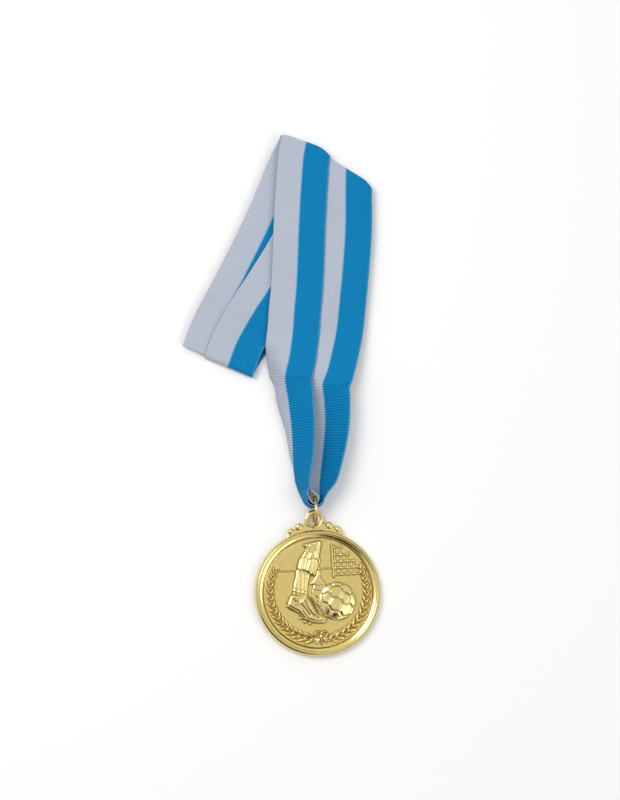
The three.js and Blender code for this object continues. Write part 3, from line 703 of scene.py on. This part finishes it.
def boot(face):
    """The front boot, its creases, a row of laces and three studs."""
    outline = [(-12.4, -0.2), (-14, -1.7), (-15.1, -4.2), (-15.2, -6), (-12.8, -7.9), (-10.3, -9.1),
               (-8.8, -10.9), (-6.9, -12.9), (-2.8, -14.2), (1.8, -14.5), (3.4, -13.6), (3.4, -11.9),
               (1.5, -10.8), (-0.5, -9.7), (-1.9, -7), (-3.3, -3.8), (-4.2, -2.3), (-5.4, -1.2),
               (-8.6, -0.4)]
    face.shape(outline, 1.35, 1.9, 0.9, 3, [
        ([(-14.8, -5.1), (-10.2, -7.9), (-7.2, -11.4), (-2.6, -13), (2.9, -13.3)], 0.3, 0.28),
        ([(-12.6, -1.6), (-11, -3.6), (-9.2, -3.9), (-7, -2)], 0.3, 0.35),
        ([(-11.4, -5.2), (-8.6, -4.6), (-6.2, -7.6), (-4.4, -10.4)], 0.3, 0.35),
        ([(-8, -7.8), (-5.6, -11.8)], 0.25, 0.3), ([(-6.6, -3.2), (-4.8, -7.6), (-2.6, -10.6)], 0.3, 0.3),
        ([(-2.4, -10.4), (-0.2, -12)], 0.3, 0.35)])
    for i in range(6):
        a = np.array([-4.3, -2.9]) + i * np.array([0.62, -1.25])
        face.line([tuple(a - [0.9, 0.4]), tuple(a + [0.55, 0.35])], 0.75, 1.55, 0.9)
    for stud in ((-8.9, -11.6), (-6.9, -13.5), (-4.6, -14.3)):
        face.disc(*stud, 0.75, 0.8, 0.9)


def icosahedron_directions():
    """Unit normals of a football's 12 five-sided and 20 six-sided panels."""
    g = (1 + math.sqrt(5)) / 2
    corners = []
    for a in (-1, 1):
        for b in (-g, g):
            corners += [(0, a, b), (a, b, 0), (b, 0, a)]
    corners = np.array(corners) / math.hypot(1, g)
    middles = []
    for i in range(12):
        for j in range(i + 1, 12):
            for k in range(j + 1, 12):
                sides = [corners[i] @ corners[j], corners[j] @ corners[k], corners[i] @ corners[k]]
                if min(sides) > 0.4:
                    m = corners[i] + corners[j] + corners[k]
                    middles.append(m / np.linalg.norm(m))
    return corners, np.array(middles)


def football(face, cx=8.95, cy=-4.4, radius=9.05, rise=1.75):
    """A ball sunk in the field, faceted into its panels, with a groove at every seam."""
    u, v = (face.x - cx) / radius, (face.y - cy) / radius
    r2 = u * u + v * v
    on = r2 < 1
    up = np.sqrt(np.clip(1 - r2, 0, 1))
    turn = np.array(Matrix.Rotation(0.35, 3, "X") @ Matrix.Rotation(-0.42, 3, "Y")
                    @ Matrix.Rotation(0.5, 3, "Z"))
    way = np.stack([u, v, up], -1) @ turn
    five, six = icosahedron_directions()
    reach = np.concatenate([FIVE_AT / np.maximum(way @ five.T, 1e-3),
                            SIX_AT / np.maximum(way @ six.T, 1e-3)], -1)
    reach = np.sort(reach, -1)
    seam = (reach[..., 1] - reach[..., 0]) / reach[..., 0]
    height = rise * (0.06 + up * (0.3 + 0.7 * reach[..., 0] / 2.38))
    height = height - 0.42 * np.exp(-(seam / 0.04) ** 2)
    face.raise_to(np.where(on, height, 0), 1.0)


def leaf(face, x0, y0, angle, length, width, height):
    """A pointed leaf with a raised midrib, from its stalk at x0, y0."""
    c, s = math.cos(angle), math.sin(angle)
    along = ((face.x - x0) * c + (face.y - y0) * s) / length
    aside = np.abs(-(face.x - x0) * s + (face.y - y0) * c)
    half = width * np.sin(np.pi * np.clip(along, 0, 1) ** 0.7)
    d = np.where((along > 0) & (along < 1), half - aside, -1)
    h = height * np.clip(d / width, 0, 1) ** 0.5 * (1.1 - 0.4 * along)
    face.raise_to(np.where(d > 0, h, 0), 0.85)


def wreath(face):
    """Paired leaves up both sides, and three more each side below the bow."""
    for side in (-1, 1):
        for i in range(14):
            part = i / 13
            angle = math.radians(-81 + 107 * part)
            radius = 22.1 + 1.2 * part
            ahead = angle + math.pi / 2
            length, width = 5.9 - 2.2 * part, 0.98 - 0.34 * part
            for lean in (-0.5, 0.5):
                x, y = WREATH_X + side * radius * math.cos(angle), radius * math.sin(angle)
                way = ahead + lean
                way = way if side > 0 else math.pi - way
                leaf(face, x, y, way, length, width, 1.2)
    for side in (-1, 1):
        for k in range(3):
            way = math.radians(-90 + side * (28 + 24 * k))
            leaf(face, WREATH_X + side * 1.2, -21.2, way, 3.8, 0.55, 0.8)


def bow(face):
    """Two loops, three tails and a knot where the wreath meets."""
    for side in (-1, 1):
        loop = np.abs(np.hypot((face.x - WREATH_X - side * 1.45) / 1.15, face.y + 19.6) - 1.25)
        face.raise_to(np.where(loop < 0.42, dome(0.42 - loop, 1.05, 0.42), 0), 0.85)
        tail = [(WREATH_X, -20.8), (WREATH_X + side * 1.7, -23), (WREATH_X + side * 2.4, -23.6)]
        face.line(tail, 0.7, 0.75, 0.8)
    face.line([(WREATH_X, -19.8), (WREATH_X, -24.2)], 0.8, 0.95, 0.85)
    face.disc(WREATH_X, -20.8, 1.0, 1.3, 0.9)


def rim_profile(radius):
    """Height of the rim, above the medal's back, at a radius."""
    profile = [(0, FIELD_Z), (25.95, FIELD_Z), (26.05, 2.4), (26.2, 2.4), (26.35, 3.0), (26.6, 3.5),
               (27.8, 3.85), (27.95, 3.7), (28.1, 4.0), (28.4, 4.2), (28.9, 4.18), (29.45, 3.8),
               (29.8, 3.3), (DISC_RADIUS, 2.6)]
    return np.interp(radius, *zip(*profile))


def relief(x, y):
    """Everything raised on the field, fading out just inside the rim."""
    face = Face(x, y)
    pitch(face)
    legs(face)
    football(face)
    boot(face)
    wreath(face)
    bow(face)
    face.height *= smoothstep(np.hypot(x, y), 25.75, 25.3)
    return face


def crevices(x, y):
    """How deep each point lies beside something raised, 0 to 1, from an even grid of heights."""
    step, half = 0.12, 27.0
    side = np.arange(-half, half + step, step)
    gx, gy = np.meshgrid(side, side, indexing="ij")
    height = relief(gx, gy).height + rim_profile(np.hypot(gx, gy)) - FIELD_Z
    soft = height.copy()
    for _ in range(14):
        soft[1:-1] = (soft[:-2] + 2 * soft[1:-1] + soft[2:]) / 4
        soft[:, 1:-1] = (soft[:, :-2] + 2 * soft[:, 1:-1] + soft[:, 2:]) / 4
    depth = np.clip((soft - height - 0.02) / 0.16, 0, 1)
    i = np.clip(((x + half) / step).round().astype(int), 0, len(side) - 1)
    j = np.clip(((y + half) / step).round().astype(int), 0, len(side) - 1)
    return depth[i, j]


def medal_face(material):
    """The disc: a fine polar grid over its face, then its edge and flat back."""
    around = 900
    radii = np.concatenate([np.linspace(0.05, 25.6, 158), np.linspace(25.7, DISC_RADIUS, 40)])
    angle = np.linspace(0, 2 * np.pi, around, endpoint=False)
    r, a = np.meshgrid(radii, angle, indexing="ij")
    x, y = r * np.cos(a), r * np.sin(a)
    face = relief(x, y)
    z = rim_profile(r) + face.height
    polish = np.where(r > 25.75, 1.0, face.polish)
    # Painted shade, deepest in the crevices beside raised parts inside the rim, and lighter over the sunken
    # sky and panel.
    crevice_shade = crevices(x, y) * smoothstep(r, 27.5, 26.5)
    crevice_shade = np.maximum(crevice_shade, 0.24 * smoothstep(-face.height, 0.05, 0.14))
    edge = [(DISC_RADIUS, 1.6), (29.95, 0.6), (29.4, 0.08), (0.05, 0.0)]
    rings = [np.stack([x, y, z], -1)]
    for radius, level in edge:
        ring = [radius * np.cos(angle), radius * np.sin(angle), np.full(around, level)]
        rings.append(np.stack(ring, -1)[None])
    grid = np.concatenate(rings)
    polish = np.concatenate([polish, np.ones((len(edge), around))])
    crevice_shade = np.concatenate([crevice_shade, np.zeros((len(edge), around))])
    count = len(grid)
    i, j = np.meshgrid(np.arange(count - 1), np.arange(around), indexing="ij")
    here, there = i * around + j, i * around + (j + 1) % around
    faces = np.stack([here, here + around, there + around, there], -1).reshape(-1, 4)
    points = np.concatenate([grid.reshape(-1, 3), [[0, 0, grid[0, :, 2].mean()], [0, 0, 0]]])
    polish = np.concatenate([polish.ravel(), [0, 1]])
    crevice_shade = np.concatenate([crevice_shade.ravel(), [0, 0]])
    top, base = len(points) - 2, len(points) - 1
    faces = faces.tolist()
    last = (count - 1) * around
    for k in range(around):
        n = (k + 1) % around
        faces.append([top, k, n])
        faces.append([base, last + n, last + k])
    return new_mesh("medal", points, faces, material,
                    attributes={"polish": polish, "crevice_shade": crevice_shade})


# ------------------------------------------------------------------ medal: rim furniture

# The height of the middle of the eyelet and the beads, the eyelet's place and radius, and
# the beads on one side: x, y and radius.
FITTING_Z = 2.8
EYELET_Y, EYELET_RADIUS = 34.8, 3.75
BEADS = [(7.3, 31.5, 1.85), (11.3, 29.6, 1.55)]


def swept(name, path, section, material, closed, attributes=None):
    """A tube along a path, with a round or given section (offsets aside and up)."""
    path = np.asarray(path, float)
    n, m = len(path), len(section)
    if closed:
        travel = np.roll(path, -1, 0) - np.roll(path, 1, 0)
    else:
        travel = np.gradient(path, axis=0)
    travel /= np.linalg.norm(travel, axis=1)[:, None]
    hint = np.array([0, 0, 1.0]) if abs(travel[:, 2]).max() < 0.9 else np.array([1.0, 0, 0])
    aside = np.cross(travel, hint)
    aside /= np.linalg.norm(aside, axis=1)[:, None]
    over = np.cross(aside, travel)
    section = np.asarray(section, float)
    points = (path[:, None] + aside[:, None] * section[None, :, :1]
              + over[:, None] * section[None, :, 1:]).reshape(-1, 3)
    faces = []
    for i in range(n if closed else n - 1):
        for k in range(m):
            a, b = i * m + k, i * m + (k + 1) % m
            c, d = (i + 1) % n * m + (k + 1) % m, (i + 1) % n * m + k
            faces.append([a, d, c, b])
    if not closed:
        faces.append(list(range(m)))
        faces.append([(n - 1) * m + k for k in reversed(range(m))])
    values = {key: np.full(len(points), value) for key, value in (attributes or {}).items()}
    return new_mesh(name, points, faces, material, attributes=values)


def circle(radius, count):
    a = np.linspace(0, 2 * np.pi, count, endpoint=False)
    return np.stack([radius * np.cos(a), radius * np.sin(a)], 1)


def eyelet(material):
    """The hanging eye: a broad ring with a rounded, slightly dished top."""
    a = np.linspace(0, 2 * np.pi, 120, endpoint=False)
    path = np.stack([EYELET_RADIUS * np.cos(a), EYELET_Y + EYELET_RADIUS * np.sin(a),
                     np.full(len(a), FITTING_Z)], 1)
    section = [(0.75, 0.25), (0.75, -0.35), (0.5, -0.85), (0, -0.9), (-0.5, -0.85), (-0.75, -0.35),
               (-0.75, 0.3), (-0.64, 0.72), (-0.4, 0.92), (0, 0.9), (0.38, 0.8), (0.62, 0.6)]
    return swept("eyelet", path, section, material, True, {"polish": 1})


def bead(x, y, radius, material):
    """A polished bead, a little flattened on top."""
    rings, around = 28, 48
    points = []
    for i in range(1, rings):
        tilt = math.pi * i / rings
        for k in range(around):
            turn = 2 * math.pi * k / around
            z = math.cos(tilt)
            points.append((x + radius * math.sin(tilt) * math.cos(turn),
                           y + radius * math.sin(tilt) * math.sin(turn),
                           FITTING_Z + radius * (z - 0.25 * max(z, 0) ** 4)))
    faces = []
    for i in range(rings - 2):
        for k in range(around):
            here, there = i * around + k, i * around + (k + 1) % around
            faces.append([here, here + around, there + around, there])
    top, base = len(points), len(points) + 1
    points += [(x, y, FITTING_Z + radius * 0.75), (x, y, FITTING_Z - radius)]
    last = (rings - 2) * around
    for k in range(around):
        faces.append([top, k, (k + 1) % around])
        faces.append([base, last + (k + 1) % around, last + k])
    return new_mesh("bead", points, faces, material, attributes={"polish": np.ones(len(points))})


def shoulder_bar(material):
    """The bar behind the rim that carries the eyelet, with a rounded upper edge."""
    side = [(13.6, 26.2), (13.2, 28.3), (11.8, 29.8), (9.4, 30.6), (7.6, 31.8), (5.2, 32.2),
            (3.5, 33.45), (2.5, 32.0), (1.2, 31.25)]
    corners = np.array(side + [(-x, y) for x, y in reversed(side)])
    middle = np.array([0, 28.6])
    points, count = [], len(corners)
    for level, shrink in ((1.0, 1.0), (2.7, 1.0), (3.1, 0.985), (3.25, 0.955)):
        for corner in corners:
            x, y = middle + (corner - middle) * shrink
            points.append((x, y, level))
    faces = []
    for r in range(3):
        for k in range(count):
            here, there = r * count + k, r * count + (k + 1) % count
            faces.append([here, there, there + count, here + count])
    faces.append([3 * count + k for k in range(count)])
    faces.append(list(reversed(range(count))))
    return new_mesh("bar", points, faces, material, smooth=False,
                    attributes={"polish": np.ones(len(points))})


def join(target, others):
    """Make several shells one object."""
    whole = bmesh.new()
    for obj in (target, *others):
        whole.from_mesh(obj.data)
    whole.to_mesh(target.data)
    whole.free()
    for obj in others:
        mesh = obj.data
        bpy.data.objects.remove(obj)
        bpy.data.meshes.remove(mesh)
    return target


GOLD = struck_gold()
WIRE = drawn_wire()
medal = join(medal_face(GOLD), [
    eyelet(GOLD), shoulder_bar(GOLD),
    *(bead(side * x, y, radius, GOLD) for x, y, radius in BEADS for side in (1, -1))])
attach(medal, "medal")
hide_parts("medal_casting")
print("medal faces", len(medal.data.polygons))


# ------------------------------------------------------------------ jump ring and stitching

# The ring's middle, the radius to the middle of its wire and the wire's own radius, then
# where it starts and the gap between its ends, in degrees.
RING_Y, RING_Z, RING_RADIUS, WIRE_RADIUS = 38.5, 7.5, 6.75, 0.75
RING_START, RING_GAP = 207, 4


def jump_ring():
    """Round wire bent into an upright ring whose ends almost meet."""
    a = np.linspace(math.radians(RING_START), math.radians(RING_START + 360 - RING_GAP), 220)
    path = np.stack([np.zeros(len(a)), RING_Y + RING_RADIUS * np.cos(a),
                     RING_Z + RING_RADIUS * np.sin(a)], 1)
    return swept("split_ring", path, circle(WIRE_RADIUS, 24), WIRE, False)


def stitching():
    """Thread sewn back and forth across the lap at the back of the neck."""
    stitch = np.arange(15)
    across = np.linspace(-9.5, 10.5, len(stitch))
    along = np.where(stitch % 2, 9.5, 2.5)
    t = np.linspace(0, stitch[-1], 260)
    spots = strip.at(np.interp(t, stitch, along), np.interp(t, stitch, across))
    spots[:, 2] = Z_LAP + 0.6
    return swept("lap_stitching", spots, circle(0.15, 8), THREAD_MATERIAL, False)


ring = jump_ring()
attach(ring, "ring")
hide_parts("jump_ring")
thread = stitching()
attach(thread, "neck_ribbon")
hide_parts("seam_stitching")


# ------------------------------------------------------------------ floor, light and camera

def stage():
    """A plain pale floor under soft studio light."""
    n = Nodes("pale_floor")
    n.shader.inputs["Base Color"].default_value = (0.93, 0.93, 0.93, 1)
    n.shader.inputs["Roughness"].default_value = 0.9
    n.shader.inputs["Specular IOR Level"].default_value = 0.1
    half, below = 3000, -0.02
    corners = [(-half, -half, below), (half, -half, below), (half, half, below), (-half, half, below)]
    floor = new_mesh("floor", corners, [(0, 1, 2, 3)], n.material, smooth=False)
    world = bpy.data.worlds.new("studio")
    bpy.context.scene.world = world
    world.use_nodes = True
    tree = world.node_tree
    background = tree.nodes["Background"]
    background.inputs["Strength"].default_value = 0.86
    way = tree.nodes.new("ShaderNodeTexCoord").outputs["Generated"]

    def toward(direction, low, high, outside, within, before=None):
        """One colour all round, and another near a direction."""
        spot = tree.nodes.new("ShaderNodeVectorMath")
        spot.operation = "DOT_PRODUCT"
        tree.links.new(way, spot.inputs[0])
        spot.inputs[1].default_value = Vector(direction).normalized()
        ramp = tree.nodes.new("ShaderNodeMapRange")
        ramp.interpolation_type = "SMOOTHSTEP"
        ramp.inputs[1].default_value = low
        ramp.inputs[2].default_value = high
        tree.links.new(spot.outputs["Value"], ramp.inputs[0])
        mix = tree.nodes.new("ShaderNodeMix")
        mix.data_type = "RGBA"
        tree.links.new(ramp.outputs[0], mix.inputs[0])
        mix.inputs[7].default_value = within
        mix.inputs[6].default_value = outside
        if before is not None:
            tree.links.new(before, mix.inputs[6])
        return mix.outputs[2]

    # Bright overhead and dim and warm towards the walls, then a dark area low at the lower
    # left and a dark spot near the top, for the gold to reflect.
    sky = toward((0, 0, 1), 0.1, 0.7, (0.42, 0.36, 0.26, 1), (1, 1, 1, 1))
    sky = toward((-0.62, -0.8, 0.24), 0.72, 0.93, (1, 1, 1, 1), (0.02, 0.02, 0.01, 1), sky)
    sky = toward((-0.08, -0.42, 1), 0.962, 0.984, (1, 1, 1, 1), (0.05, 0.02, 0.01, 1), sky)
    # Seen directly, the studio is plain and pale.
    plain = tree.nodes.new("ShaderNodeMix")
    plain.data_type = "RGBA"
    tree.links.new(tree.nodes.new("ShaderNodeLightPath").outputs["Is Camera Ray"], plain.inputs[0])
    tree.links.new(sky, plain.inputs[6])
    plain.inputs[7].default_value = (1.0, 1.0, 1.0, 1)
    tree.links.new(plain.outputs[2], background.inputs["Color"])
    for name, place, size, power in (
        ("key", (-500, 420, 900), 500, 5.0),
        ("fill", (700, -300, 1000), 800, 2.0),
    ):
        light = bpy.data.lights.new(name, "AREA")
        light.size = size * MM
        light.energy = power
        lamp = bpy.data.objects.new(name, light)
        lamp.location = Vector(place) * MM
        aim = Vector((0, 90, 0)) * MM - lamp.location
        lamp.rotation_euler = aim.to_track_quat("-Z", "Y").to_euler()
        bpy.context.scene.collection.objects.link(lamp)


def camera():
    """Nearly straight above, leaning a little towards the lower left, and rolled slightly."""
    target = Vector((1.3, 91.7, 3.0)) * MM
    distance = 1.5
    view_width = 295.238 * MM
    lean_x, lean_y, roll = math.radians(-7.5), math.radians(-4), math.radians(-3.2)
    back = Vector((math.tan(lean_x), math.tan(lean_y), 1)).normalized()
    data = bpy.data.cameras.new("camera")
    obj = bpy.data.objects.new("camera", data)
    bpy.context.scene.collection.objects.link(obj)
    up = Vector((-math.sin(roll), math.cos(roll), 0))
    right = up.cross(back).normalized()
    up = back.cross(right).normalized()
    matrix = Matrix((right, up, back)).transposed().to_4x4()
    matrix.translation = target + back * distance
    obj.matrix_world = matrix
    data.sensor_fit = "HORIZONTAL"
    data.sensor_width = 36
    data.lens = data.sensor_width * distance / view_width
    data.clip_end = 20
    bpy.context.scene.camera = obj
    bpy.context.scene.view_settings.view_transform = "Standard"


stage()
camera()
